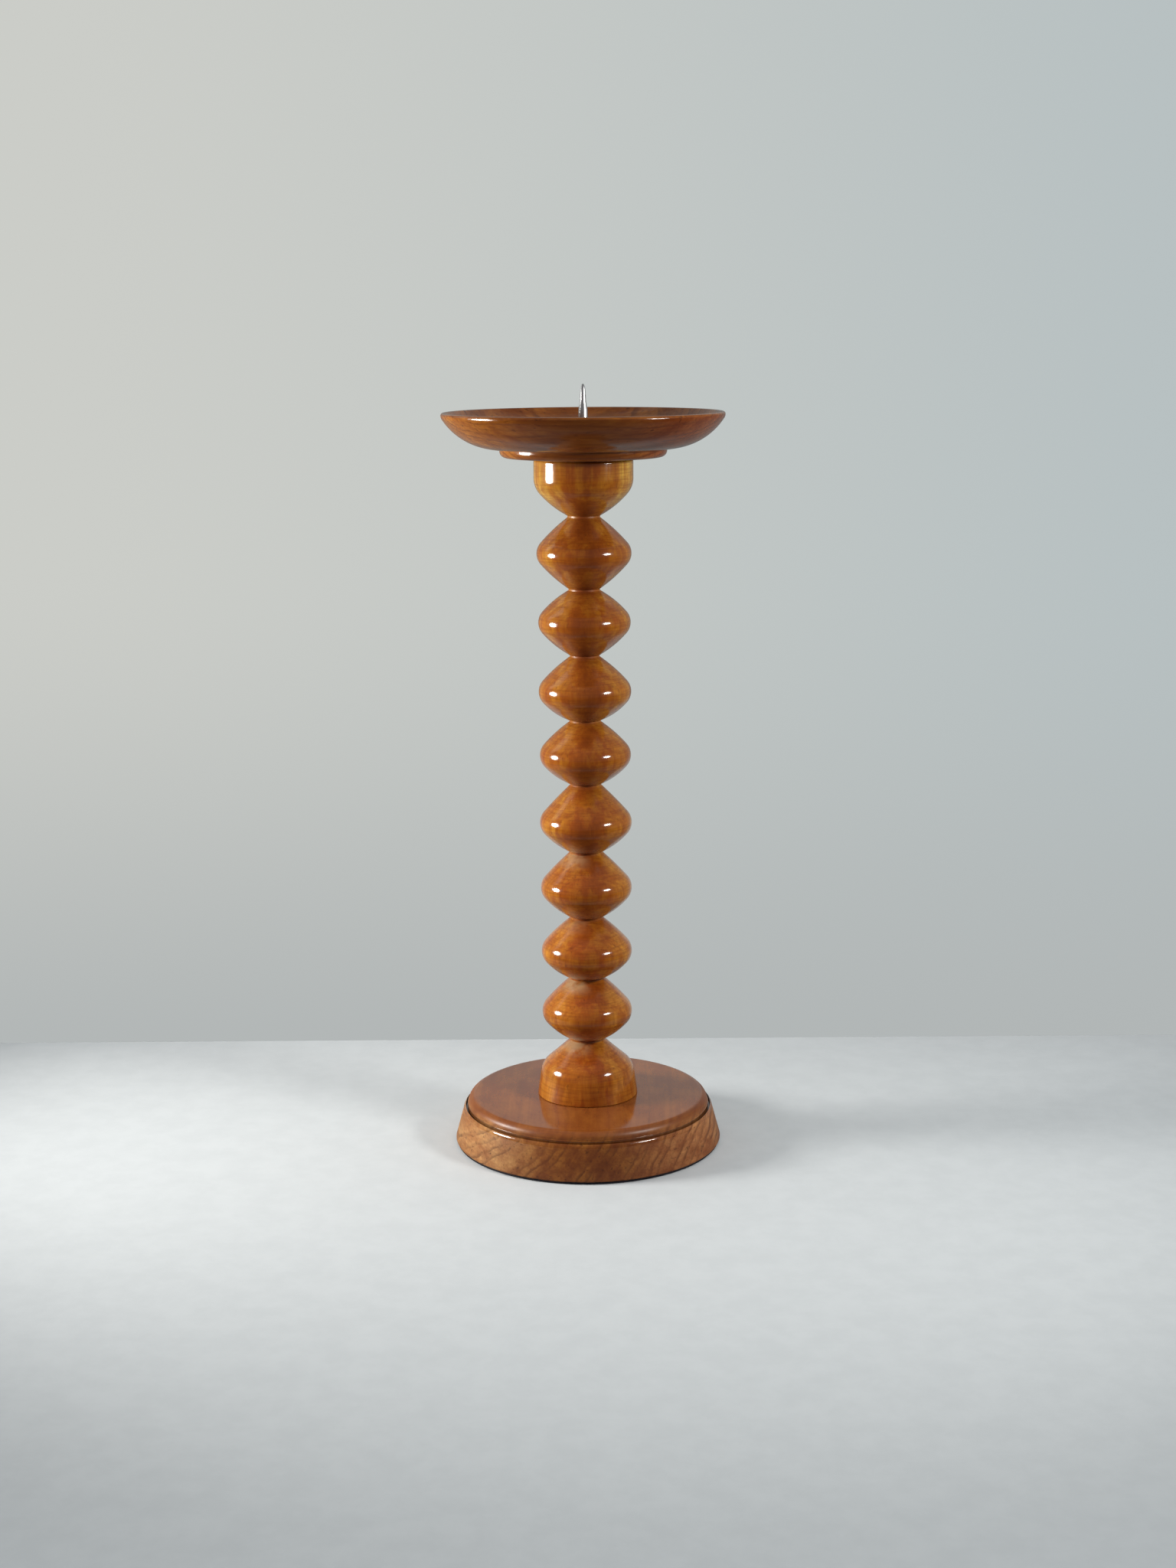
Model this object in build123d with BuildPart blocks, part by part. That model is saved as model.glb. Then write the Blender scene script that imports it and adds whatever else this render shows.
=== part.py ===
"""Pricket candle stand: a bobbin-turned wooden stem between a moulded base and a drip dish.

Millimetres, +Z up. The origin is the middle of the underside, on the surface that the stand rests on.
"""

import os

from build123d import *

# Baize pad under the base, cut a little smaller than the base
baize_inset = 0.7
baize_thickness = 1.2

# Base: a flared side up to a lip, a groove behind it, a small fillet and a quarter round to the flat top
base_diameter = 137.8
base_height = 23.6
base_edge_round = 0.8
base_side_flare = 4.3
base_lip_round = 0.3
base_lip_width = 0.45
base_lip_drop = 5.6
base_groove_width = 1.5
base_groove_depth = 1.4
base_fillet_step = 0.35
base_fillet_round = 0.3
base_band_round = 4.2

# Stem: a bell foot, a row of beads between narrow necks, and a cup that carries the dish
stem_height = 327.3
bell_diameter = 51.6
bell_height = 29.4
bell_edge_round = 0.5
bell_shoulder_diameter = 48.3
bell_shoulder_height = 12.2
bell_shoulder_round = 10.0
bead_diameter = 46.6
bead_nose_round = 8.0
neck_diameter = 16.6
neck_land = 0.8
cup_diameter = 49.4
cup_height = 28.1
cup_edge_round = 0.6
cup_straight = 9.2
cup_shoulder_round = 11.6

# The beads are turned by eye, so each differs a little; from the lowest to the highest
bead_height_shares = (0.1216, 0.1187, 0.1274, 0.1303, 0.1211, 0.1226, 0.1237, 0.1346)
bead_diameter_shares = (0.995, 0.997, 0.999, 1.004, 0.989, 1.000, 0.993, 1.015)
bead_equator_shares = (0.456, 0.446, 0.457, 0.438, 0.462, 0.453, 0.506, 0.496)
neck_diameter_shares = (1.09, 1.09, 1.01, 1.03, 0.96, 0.95, 0.90, 0.95, 0.98)

# Angles of the turned curves, in degrees
bell_shoulder_angle = 41.6
bead_nose_angle = 41
cup_shoulder_angle = 41
rim_lip_angle = 141
rim_under_angle = 33
pricket_tip_angle = 27

# Dish: a low foot, a full wall that sweeps out to a thin rounded lip, and a flat floor
dish_diameter = 140.0
dish_height = 23.1
dish_foot_diameter = 82.8
dish_foot_height = 5.3
dish_foot_round = 3.2
dish_floor_diameter = 88.0
dish_floor_thickness = 11.2
rim_lip_round = 1.25
rim_under_round = 3.4

# Tenons of the stem and the mortises that take them
base_tenon_diameter = 20.0
base_tenon_length = 12.5
dish_tenon_diameter = 20.0
dish_tenon_length = 5.0
tenon_chamfer = 0.8
joint_clearance = 0.1

# Pricket: a steel spike with its root let into the dish's floor and a screw shank below
pricket_height = 25.5
pricket_seat_depth = 1.2
pricket_root_diameter = 5.4
pricket_waist_diameter = 4.7
pricket_waist_height = 10.9
pricket_spike_diameter = 2.9
pricket_spike_height = 18.9
pricket_nib_diameter = 2.3
pricket_nib_length = 1.8
pricket_tip_diameter = 1.2
pricket_shank_diameter = 4.0
pricket_shank_length = 21.0
pricket_point_length = 4.0

# Screw from below: countersunk head, plain shank, gimlet point and a slot
screw_head_diameter = 9.4
screw_head_recess = 0.6
screw_head_rim = 0.5
screw_shank_diameter = 4.8
screw_length = 38.0
screw_point_length = 6.0
screw_slot_width = 1.3
screw_slot_depth = 1.4

# Room round the screw shanks and past their points, and how far a cut runs past a face
shank_clearance = 0.1
point_clearance = 1.0
cut_overrun = 1.0

# Heights that the sizes above give
base_bottom = baize_thickness
base_top = base_bottom + base_height
base_lip_top = base_top - base_lip_drop
base_groove_floor = base_lip_top - base_groove_depth
base_fillet_top = base_top - base_band_round
stem_top = base_top + stem_height
lowest_neck = base_top + bell_height
highest_neck = stem_top - cup_height
bead_row = highest_neck - lowest_neck
bead_heights = [share * bead_row for share in bead_height_shares]
necks = [lowest_neck + sum(bead_heights[:count]) for count in range(len(bead_heights))]
necks.append(highest_neck)
neck_radii = [share * neck_diameter / 2 for share in neck_diameter_shares]
dish_floor = stem_top + dish_floor_thickness
dish_rim = stem_top + dish_height
base_tenon_end = base_top - base_tenon_length
dish_tenon_end = stem_top + dish_tenon_length
screw_head_face = base_bottom + screw_head_recess
screw_tip = screw_head_face + screw_length
pricket_seat = dish_floor - pricket_seat_depth
pricket_shank_tip = pricket_seat - pricket_shank_length
pricket_tip = dish_floor + pricket_height

# Radii that several pieces share
base_lip_radius = base_diameter / 2 - base_side_flare
base_groove_radius = base_lip_radius - base_lip_width
base_fillet_radius = base_groove_radius - base_groove_width
base_band_radius = base_fillet_radius - base_fillet_step
base_tenon_radius = base_tenon_diameter / 2
dish_tenon_radius = dish_tenon_diameter / 2
pricket_root_radius = pricket_root_diameter / 2
pricket_shank_radius = pricket_shank_diameter / 2
screw_shank_radius = screw_shank_diameter / 2
screw_head_radius = screw_head_diameter / 2

UP = (0, 1)
DOWN = (0, -1)


def bead(below, above, diameter, equator_share):
    """Half outline of one bead: a round nose at its widest and a slightly full flank to each neck."""
    equator = necks[below] + equator_share * (necks[above] - necks[below])
    nose_centre = (diameter / 2 - bead_nose_round, equator)
    nose = CenterArc(nose_centre, bead_nose_round, -bead_nose_angle, 2 * bead_nose_angle)
    TangentArc(nose @ 1, (neck_radii[above], necks[above] - neck_land / 2), tangent=nose % 1)
    TangentArc(nose @ 0, (neck_radii[below], necks[below] + neck_land / 2), tangent=(nose % 0) * -1)


def neck(radius, height):
    """The narrow land at the bottom of the groove between two beads."""
    Line((radius, height - neck_land / 2), (radius, height + neck_land / 2))


def screw_outline(head_end, shank_end, room):
    """Half outline of the screw's head and shank, or with room added, of the hole that takes them."""
    head_radius = screw_head_radius + room
    shank_radius = screw_shank_radius + room
    cone_start = screw_head_face + screw_head_rim
    Polyline(
        (0, head_end),
        (head_radius, head_end),
        (head_radius, cone_start),
        (shank_radius, cone_start + screw_head_radius - screw_shank_radius),
        (shank_radius, shank_end),
        (0, shank_end),
        close=True,
    )


# Baize pad
with BuildPart() as base_baize:
    Cylinder(
        base_diameter / 2 - baize_inset,
        baize_thickness,
        align=(Align.CENTER, Align.CENTER, Align.MIN),
    )
base_baize.part.label = "base_baize"

# Base: the turned outline, then the mortise from above and the screw hole from below
with BuildPart() as base:
    with BuildSketch(Plane.XZ):
        with BuildLine():
            underside = Line((0, base_bottom), (base_diameter / 2 - base_edge_round, base_bottom))
            edge = TangentArc(
                underside @ 1,
                (base_diameter / 2, base_bottom + base_edge_round),
                tangent=underside % 1,
            )
            side = Line(edge @ 1, (base_lip_radius, base_lip_top - base_lip_round))
            lip = TangentArc(side @ 1, (base_lip_radius - base_lip_round, base_lip_top), tangent=side % 1)
            groove = Polyline(
                lip @ 1,
                (base_groove_radius, base_lip_top),
                (base_groove_radius, base_groove_floor),
                (base_fillet_radius, base_groove_floor),
                (base_fillet_radius, base_fillet_top - base_fillet_round),
            )
            fillet_edge = TangentArc(
                groove @ 1,
                (base_fillet_radius - base_fillet_round, base_fillet_top),
                tangent=UP,
            )
            fillet_face = Line(fillet_edge @ 1, (base_band_radius, base_fillet_top))
            band = TangentArc(
                fillet_face @ 1,
                (base_band_radius - base_band_round, base_top),
                tangent=UP,
            )
            top = Line(band @ 1, (0, base_top))
            Line(top @ 1, underside @ 0)
        make_face()
    revolve(axis=Axis.Z)
    with Locations((0, 0, base_top)):
        Hole(base_tenon_radius + joint_clearance, base_tenon_length + joint_clearance)
    with BuildSketch(Plane.XZ):
        with BuildLine():
            screw_outline(base_bottom - cut_overrun, base_tenon_end, shank_clearance)
        make_face()
    revolve(axis=Axis.Z, mode=Mode.SUBTRACT)
base.part.label = "base"

# Stem: one spindle with its tenons, and a pilot hole for the screw at each end
with BuildPart() as stem:
    with BuildSketch(Plane.XZ):
        with BuildLine():
            lower_axis = Line((0, dish_tenon_end), (0, base_tenon_end))
            Polyline(
                lower_axis @ 1,
                (base_tenon_radius - tenon_chamfer, base_tenon_end),
                (base_tenon_radius, base_tenon_end + tenon_chamfer),
                (base_tenon_radius, base_top),
                (bell_diameter / 2 - bell_edge_round, base_top),
            )
            bell_edge = TangentArc(
                (bell_diameter / 2 - bell_edge_round, base_top),
                (bell_diameter / 2, base_top + bell_edge_round),
                tangent=(1, 0),
            )
            bell_side = Line(
                bell_edge @ 1,
                (bell_shoulder_diameter / 2, base_top + bell_shoulder_height),
            )
            bell_shoulder = JernArc(
                bell_side @ 1,
                bell_side % 1,
                bell_shoulder_round,
                bell_shoulder_angle,
            )
            TangentArc(
                bell_shoulder @ 1,
                (neck_radii[0], lowest_neck - neck_land / 2),
                tangent=bell_shoulder % 1,
            )
            for below, shares in enumerate(zip(bead_diameter_shares, bead_equator_shares)):
                diameter_share, equator_share = shares
                bead(below, below + 1, diameter_share * bead_diameter, equator_share)
            for radius, height in zip(neck_radii, necks):
                neck(radius, height)
            cup_edge = TangentArc(
                (cup_diameter / 2 - cup_edge_round, stem_top),
                (cup_diameter / 2, stem_top - cup_edge_round),
                tangent=(1, 0),
            )
            cup_side = Line(cup_edge @ 1, (cup_diameter / 2, stem_top - cup_straight))
            cup_shoulder = JernArc(cup_side @ 1, DOWN, cup_shoulder_round, -cup_shoulder_angle)
            TangentArc(
                cup_shoulder @ 1,
                (neck_radii[-1], highest_neck + neck_land / 2),
                tangent=cup_shoulder % 1,
            )
            Polyline(
                cup_edge @ 0,
                (dish_tenon_radius, stem_top),
                (dish_tenon_radius, dish_tenon_end - tenon_chamfer),
                (dish_tenon_radius - tenon_chamfer, dish_tenon_end),
                lower_axis @ 0,
            )
        make_face()
    revolve(axis=Axis.Z)
    with Locations((0, 0, dish_tenon_end)):
        Hole(
            pricket_shank_radius + shank_clearance,
            dish_tenon_end - pricket_shank_tip + point_clearance,
        )
    with Locations(Location((0, 0, base_tenon_end), (180, 0, 0))):
        Hole(
            screw_shank_radius + shank_clearance,
            screw_tip - base_tenon_end + point_clearance,
        )
stem.part.label = "stem"

# Dish: the turned outline, then the mortise from below and the pricket's hole
with BuildPart() as dish:
    with BuildSketch(Plane.XZ):
        with BuildLine():
            foot_radius = dish_foot_diameter / 2
            lip_centre = (dish_diameter / 2 - rim_lip_round, dish_rim - rim_lip_round)
            lip = CenterArc(lip_centre, rim_lip_round, 0, rim_lip_angle)
            inner_wall = TangentArc(lip @ 1, (dish_floor_diameter / 2, dish_floor), tangent=lip % 1)
            floor = Line(inner_wall @ 1, (0, dish_floor))
            middle = Line(floor @ 1, (0, stem_top))
            foot_face = Line(middle @ 1, (foot_radius - dish_foot_round, stem_top))
            foot_edge = TangentArc(
                foot_face @ 1,
                (foot_radius, stem_top + dish_foot_round),
                tangent=foot_face % 1,
            )
            foot_side = Line(foot_edge @ 1, (foot_radius, stem_top + dish_foot_height))
            lip_under = JernArc(lip @ 0, DOWN, rim_under_round, -rim_under_angle)
            TangentArc(lip_under @ 1, foot_side @ 1, tangent=lip_under % 1)
        make_face()
    revolve(axis=Axis.Z)
    with Locations(Location((0, 0, stem_top), (180, 0, 0))):
        Hole(dish_tenon_radius + joint_clearance, dish_tenon_length + joint_clearance)
    with Locations((0, 0, dish_floor)):
        CounterBoreHole(
            pricket_shank_radius + shank_clearance,
            pricket_root_radius + joint_clearance,
            pricket_seat_depth,
            dish_floor_thickness,
        )
dish.part.label = "dish"

# Pricket: a straight root, a soft step in to the slender spike with its nib, and the shank below
with BuildPart() as pricket:
    with BuildSketch(Plane.XZ):
        with BuildLine():
            root = (pricket_root_radius, dish_floor)
            waist = (pricket_waist_diameter / 2, dish_floor + pricket_waist_height)
            spike = (pricket_spike_diameter / 2, dish_floor + pricket_spike_height)
            step_middle = ((waist[0] + spike[0]) / 2, (waist[1] + spike[1]) / 2)
            nib = (pricket_nib_diameter / 2, pricket_tip - pricket_nib_length)
            tip_radius = pricket_tip_diameter / 2
            tip_centre = (0, pricket_tip - tip_radius)
            root_side = Line(root, waist)
            step_out = TangentArc(waist, step_middle, tangent=root_side % 1)
            TangentArc(step_middle, spike, tangent=step_out % 1)
            tip = CenterArc(tip_centre, tip_radius, pricket_tip_angle, 90 - pricket_tip_angle)
            Polyline(spike, nib, tip @ 0)
            middle = Line(tip @ 1, (0, pricket_shank_tip))
            Polyline(
                middle @ 1,
                (pricket_shank_radius, pricket_shank_tip + pricket_point_length),
                (pricket_shank_radius, pricket_seat),
                (pricket_root_radius, pricket_seat),
                root,
            )
        make_face()
    revolve(axis=Axis.Z)
pricket.part.label = "pricket"

# Screw from below, with its slot
with BuildPart() as base_screw:
    with BuildSketch(Plane.XZ):
        with BuildLine():
            screw_outline(screw_head_face, screw_tip - screw_point_length, 0)
        make_face()
    revolve(axis=Axis.Z)
    with Locations((0, 0, screw_tip - screw_point_length)):
        Cone(screw_shank_radius, 0, screw_point_length, align=(Align.CENTER, Align.CENTER, Align.MIN))
    with BuildSketch(Plane.XY.offset(screw_head_face)):
        Rectangle(screw_head_diameter, screw_slot_width)
    extrude(amount=screw_slot_depth, mode=Mode.SUBTRACT)
base_screw.part.label = "base_screw"

os.makedirs("parts", exist_ok=True)
for piece in (base_baize, base, stem, dish, pricket, base_screw):
    export_step(piece.part, f"parts/{piece.part.label}.step")
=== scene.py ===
"""Looks of the pricket candle stand: turned meshes, varnished woods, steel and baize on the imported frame."""

import math

import bmesh
import bpy
from mathutils import Matrix, Vector


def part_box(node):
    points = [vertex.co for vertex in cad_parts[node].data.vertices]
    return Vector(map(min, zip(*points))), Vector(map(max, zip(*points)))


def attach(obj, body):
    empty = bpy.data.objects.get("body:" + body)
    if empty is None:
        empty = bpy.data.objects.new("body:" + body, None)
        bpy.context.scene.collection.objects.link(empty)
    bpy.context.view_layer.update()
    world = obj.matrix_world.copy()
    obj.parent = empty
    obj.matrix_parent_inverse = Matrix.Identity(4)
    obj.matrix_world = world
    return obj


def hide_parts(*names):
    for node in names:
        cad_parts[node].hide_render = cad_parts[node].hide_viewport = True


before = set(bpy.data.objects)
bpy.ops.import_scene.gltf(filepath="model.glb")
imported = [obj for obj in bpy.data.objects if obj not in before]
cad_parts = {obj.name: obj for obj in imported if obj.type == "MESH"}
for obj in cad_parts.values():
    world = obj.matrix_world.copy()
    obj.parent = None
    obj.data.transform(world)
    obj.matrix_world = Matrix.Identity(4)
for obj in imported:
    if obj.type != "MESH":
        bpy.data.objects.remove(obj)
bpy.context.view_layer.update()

MM = 0.001

# Heights and radii that the frame gives
baize_low, baize_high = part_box("base_baize")
base_low, base_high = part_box("base")
stem_low, stem_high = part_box("stem")
dish_low, dish_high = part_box("dish")
pricket_low, pricket_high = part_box("pricket")
screw_low, screw_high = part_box("base_screw")

base_bottom = base_low.z
base_top = base_high.z
base_radius = base_high.x
baize_radius = baize_high.x
stem_foot = stem_low.z
stem_tip = stem_high.z
stem_top = dish_low.z
dish_rim = dish_high.z
dish_radius = dish_high.x

# Baize pad
baize_edge_round = 0.4 * MM

# Base
base_edge_round = 0.8 * MM
base_side_flare = 4.3 * MM
base_lip_drop = 5.6 * MM
base_lip_fall = 1.4 * MM
base_lip_width = 0.9 * MM
base_groove_width = 1.05 * MM
base_groove_depth = 1.4 * MM
base_fillet_round = 0.3 * MM
base_fillet_step = 0.35 * MM
base_band_round = 4.2 * MM
base_lip_radius = base_radius - base_side_flare
base_lip_top = base_top - base_lip_drop
base_groove_radius = base_lip_radius - base_lip_width
base_groove_floor = base_lip_top - base_groove_depth
base_fillet_radius = base_groove_radius - base_groove_width
base_fillet_top = base_top - base_band_round
base_band_radius = base_fillet_radius - base_fillet_step

# Stem, with angles in degrees
bell_radius = 25.8 * MM
bell_height = 29.4 * MM
bell_edge_round = 0.5 * MM
bell_shoulder_radius = 24.15 * MM
bell_shoulder_height = 12.2 * MM
bell_shoulder_round = 10.0 * MM
bell_shoulder_angle = 41.6
bead_radius = 23.3 * MM
bead_nose_round = 8.0 * MM
bead_nose_angle = 41
neck_radius = 8.3 * MM
neck_land = 0.8 * MM
cup_radius = 24.7 * MM
cup_height = 28.1 * MM
cup_edge_round = 1.1 * MM
cup_straight = 9.2 * MM
cup_shoulder_round = 11.6 * MM
cup_shoulder_angle = 41
bead_height_shares = (0.1216, 0.1187, 0.1274, 0.1303, 0.1211, 0.1226, 0.1237, 0.1346)
bead_diameter_shares = (0.995, 0.997, 0.999, 1.004, 0.989, 1.000, 0.993, 1.015)
bead_equator_shares = (0.456, 0.446, 0.457, 0.438, 0.462, 0.453, 0.506, 0.496)
neck_diameter_shares = (1.09, 1.09, 1.01, 1.03, 0.96, 0.95, 0.90, 0.95, 0.98)
neck_radii = [share * neck_radius for share in neck_diameter_shares]
lowest_neck = base_top + bell_height
highest_neck = stem_top - cup_height

# Dish, with angles in degrees
dish_foot_radius = 41.4 * MM
dish_foot_height = 5.3 * MM
dish_foot_round = 3.2 * MM
dish_foot_edge_height = 4.3 * MM
dish_foot_rise = 4.5
dish_floor_radius = 44.0 * MM
dish_floor_height = 11.2 * MM
rim_lip_round = 1.25 * MM
rim_lip_angle = 141
rim_under_round = 3.4 * MM
rim_under_angle = 33
dish_foot_edge = stem_top + dish_foot_edge_height
dish_floor = stem_top + dish_floor_height

# Tenons, holes and the room in them
tenon_radius = 10.0 * MM
tenon_chamfer = 0.8 * MM
joint_clearance = 0.1 * MM
shank_clearance = 0.1 * MM
point_clearance = 1.0 * MM

# Pricket, with its angle in degrees
pricket_root_radius = 2.7 * MM
pricket_seat_depth = 1.2 * MM
pricket_waist_radius = 2.35 * MM
pricket_waist_height = 10.9 * MM
pricket_spike_radius = 1.45 * MM
pricket_spike_height = 18.9 * MM
pricket_nib_radius = 1.15 * MM
pricket_nib_length = 1.8 * MM
pricket_tip_radius = 0.6 * MM
pricket_tip_angle = 27
pricket_shank_radius = 2.0 * MM
pricket_point = 4.0 * MM
pricket_seat = dish_floor - pricket_seat_depth
pricket_waist = dish_floor + pricket_waist_height
pricket_spike = dish_floor + pricket_spike_height

# Screw from below
screw_head_radius = 4.7 * MM
screw_head_rim = 0.5 * MM
screw_shank_radius = 2.4 * MM

# How finely the turned meshes are divided
arc_step = 1.2 * MM
arc_turn = math.radians(5)
weld = 0.001 * MM
crease = math.radians(35)
pad_steps = 192
wide_steps = 256
stem_steps = 160
spike_steps = 64

# Turns of an outline: a quarter in degrees, and the heading straight up
quarter = 90
straight_up = math.pi / 2


class Outline:
    """Half outline of a turned piece in the XZ plane, drawn point by point and then spun about Z."""

    def __init__(self, radius, height):
        self.mesh = bmesh.new()
        self.tip = self.mesh.verts.new((radius, 0, height))
        self.heading = 0.0

    def chord(self, radius, height):
        """Length and direction of the straight way from the tip to a point."""
        way = Vector((radius - self.tip.co.x, height - self.tip.co.z))
        return way.length, math.atan2(way.y, way.x)

    def line(self, radius, height):
        self.heading = self.chord(radius, height)[1]
        self.tip = bmesh.ops.extrude_vert_indiv(self.mesh, verts=[self.tip])["verts"][0]
        self.tip.co = (radius, 0, height)

    def sweep(self, radius, turn):
        """An arc that leaves along the heading and turns left, or right where the turn is negative."""
        side = self.heading + math.copysign(math.pi / 2, turn)
        centre = self.tip.co + radius * Vector((math.cos(side), 0, math.sin(side)))
        steps = max(math.ceil(radius * abs(turn) / arc_step), math.ceil(abs(turn) / arc_turn))
        spun = bmesh.ops.spin(
            self.mesh, geom=[self.tip], cent=centre, axis=(0, -1, 0), angle=turn, steps=steps
        )
        self.tip = spun["geom_last"][0]
        self.heading += turn

    def arc(self, radius, degrees):
        self.sweep(radius, math.radians(degrees))

    def arc_to(self, radius, height):
        """The arc that leaves along the heading and ends at the point."""
        length, direction = self.chord(radius, height)
        bend = math.remainder(direction - self.heading, math.tau)
        self.sweep(length / (2 * math.sin(abs(bend))), 2 * bend)

    def arc_into(self, radius, height, heading):
        """The arc that ends at the point along the given heading."""
        length, direction = self.chord(radius, height)
        bend = math.remainder(heading - direction, math.tau)
        self.heading = direction - bend
        self.sweep(length / (2 * math.sin(abs(bend))), 2 * bend)

    def turned(self, name, steps):
        """The outline spun about the turning axis, as a named piece with smooth faces and true creases."""
        bm = self.mesh
        bmesh.ops.spin(
            bm,
            geom=bm.verts[:] + bm.edges[:],
            cent=(0, 0, 0),
            axis=(0, 0, 1),
            angle=math.tau,
            steps=steps,
            use_merge=True,
        )
        bmesh.ops.remove_doubles(bm, verts=bm.verts[:], dist=weld)
        bmesh.ops.recalc_face_normals(bm, faces=bm.faces[:])
        piece = linked_piece(name, bm)
        piece.data.shade_smooth()
        piece.data.set_sharp_from_angle(angle=crease)
        return piece


def linked_piece(name, bm):
    """An object in the scene with the mesh that was built."""
    mesh = bpy.data.meshes.new(name)
    bm.to_mesh(mesh)
    bm.free()
    piece = bpy.data.objects.new(name, mesh)
    bpy.context.scene.collection.objects.link(piece)
    return piece


def turned_baize():
    pen = Outline(0, baize_low.z)
    pen.line(baize_radius - baize_edge_round, baize_low.z)
    pen.arc(baize_edge_round, quarter)
    pen.line(baize_radius, baize_high.z)
    pen.line(0, baize_high.z)
    return pen.turned("baize_pad", pad_steps)


def turned_base():
    hole_radius = screw_shank_radius + shank_clearance
    head_radius = screw_head_radius + shank_clearance
    cone_start = screw_low.z + screw_head_rim
    mortise_radius = tenon_radius + joint_clearance
    mortise_floor = stem_foot - joint_clearance
    pen = Outline(hole_radius, mortise_floor)
    pen.line(hole_radius, cone_start + screw_head_radius - screw_shank_radius)
    pen.line(head_radius, cone_start)
    pen.line(head_radius, base_bottom)
    pen.line(base_radius - base_edge_round, base_bottom)
    pen.arc(base_edge_round, quarter)
    pen.line(base_lip_radius, base_lip_top - base_lip_fall)
    pen.arc_to(base_groove_radius, base_lip_top)
    pen.line(base_groove_radius, base_groove_floor)
    pen.line(base_fillet_radius, base_groove_floor)
    pen.line(base_fillet_radius, base_fillet_top - base_fillet_round)
    pen.arc(base_fillet_round, quarter)
    pen.line(base_band_radius, base_fillet_top)
    pen.heading = straight_up
    pen.arc(base_band_round, quarter)
    pen.line(mortise_radius, base_top)
    pen.line(mortise_radius, mortise_floor)
    pen.line(hole_radius, mortise_floor)
    return pen.turned("turned_base", wide_steps)


def bead(pen, foot, head, radius, equator_share):
    """One bead: a slightly full flank, a round nose at the equator, and a flank to the next neck."""
    foot_radius, foot_height = foot
    head_radius, head_height = head
    equator = foot_height + equator_share * (head_height - foot_height)
    angle = math.radians(bead_nose_angle)
    nose_start = radius - bead_nose_round + bead_nose_round * math.cos(angle)
    pen.line(foot_radius, foot_height + neck_land / 2)
    pen.arc_into(nose_start, equator - bead_nose_round * math.sin(angle), straight_up - angle)
    pen.sweep(bead_nose_round, 2 * angle)
    pen.arc_to(head_radius, head_height - neck_land / 2)


def turned_stem():
    screw_hole_radius = screw_shank_radius + shank_clearance
    screw_hole_end = screw_high.z + point_clearance
    pricket_hole_radius = pricket_shank_radius + shank_clearance
    pricket_hole_end = pricket_low.z - point_clearance
    pen = Outline(0, screw_hole_end)
    pen.line(screw_hole_radius, screw_hole_end)
    pen.line(screw_hole_radius, stem_foot)
    pen.line(tenon_radius - tenon_chamfer, stem_foot)
    pen.line(tenon_radius, stem_foot + tenon_chamfer)
    pen.line(tenon_radius, base_top)
    pen.line(bell_radius - bell_edge_round, base_top)
    pen.arc(bell_edge_round, quarter)
    pen.line(bell_shoulder_radius, base_top + bell_shoulder_height)
    pen.arc(bell_shoulder_round, bell_shoulder_angle)
    pen.arc_to(neck_radii[0], lowest_neck - neck_land / 2)
    foot = (neck_radii[0], lowest_neck)
    for head_radius, height_share, diameter_share, equator_share in zip(
        neck_radii[1:], bead_height_shares, bead_diameter_shares, bead_equator_shares
    ):
        head = (head_radius, foot[1] + height_share * (highest_neck - lowest_neck))
        bead(pen, foot, head, diameter_share * bead_radius, equator_share)
        foot = head
    pen.line(neck_radii[-1], highest_neck + neck_land / 2)
    shoulder = math.radians(cup_shoulder_angle)
    pen.arc_into(
        cup_radius - cup_shoulder_round * (1 - math.cos(shoulder)),
        stem_top - cup_straight - cup_shoulder_round * math.sin(shoulder),
        straight_up - shoulder,
    )
    pen.sweep(cup_shoulder_round, shoulder)
    pen.line(cup_radius, stem_top - cup_edge_round)
    pen.arc(cup_edge_round, quarter)
    pen.line(tenon_radius, stem_top)
    pen.line(tenon_radius, stem_tip - tenon_chamfer)
    pen.line(tenon_radius - tenon_chamfer, stem_tip)
    pen.line(pricket_hole_radius, stem_tip)
    pen.line(pricket_hole_radius, pricket_hole_end)
    pen.line(0, pricket_hole_end)
    return pen.turned("turned_stem", stem_steps)


def turned_dish():
    hole_radius = pricket_shank_radius + shank_clearance
    seat_radius = pricket_root_radius + joint_clearance
    mortise_radius = tenon_radius + joint_clearance
    mortise_end = stem_tip + joint_clearance
    rise = math.radians(dish_foot_rise)
    under = math.radians(rim_under_angle)
    pen = Outline(hole_radius, mortise_end)
    pen.line(mortise_radius, mortise_end)
    pen.line(mortise_radius, stem_top)
    pen.line(cup_radius, stem_top)
    pen.line(
        dish_foot_radius - dish_foot_round * (1 - math.sin(rise)),
        dish_foot_edge - dish_foot_round * math.cos(rise),
    )
    pen.heading = rise
    pen.sweep(dish_foot_round, straight_up - rise)
    pen.line(dish_foot_radius, stem_top + dish_foot_height)
    pen.arc_into(
        dish_radius - rim_under_round * (1 - math.cos(under)),
        dish_rim - rim_lip_round - rim_under_round * math.sin(under),
        straight_up - under,
    )
    pen.sweep(rim_under_round, under)
    pen.arc(rim_lip_round, rim_lip_angle)
    pen.arc_to(dish_floor_radius, dish_floor)
    pen.line(seat_radius, dish_floor)
    pen.line(seat_radius, pricket_seat)
    pen.line(hole_radius, pricket_seat)
    pen.line(hole_radius, mortise_end)
    return pen.turned("turned_dish", wide_steps)


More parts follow.
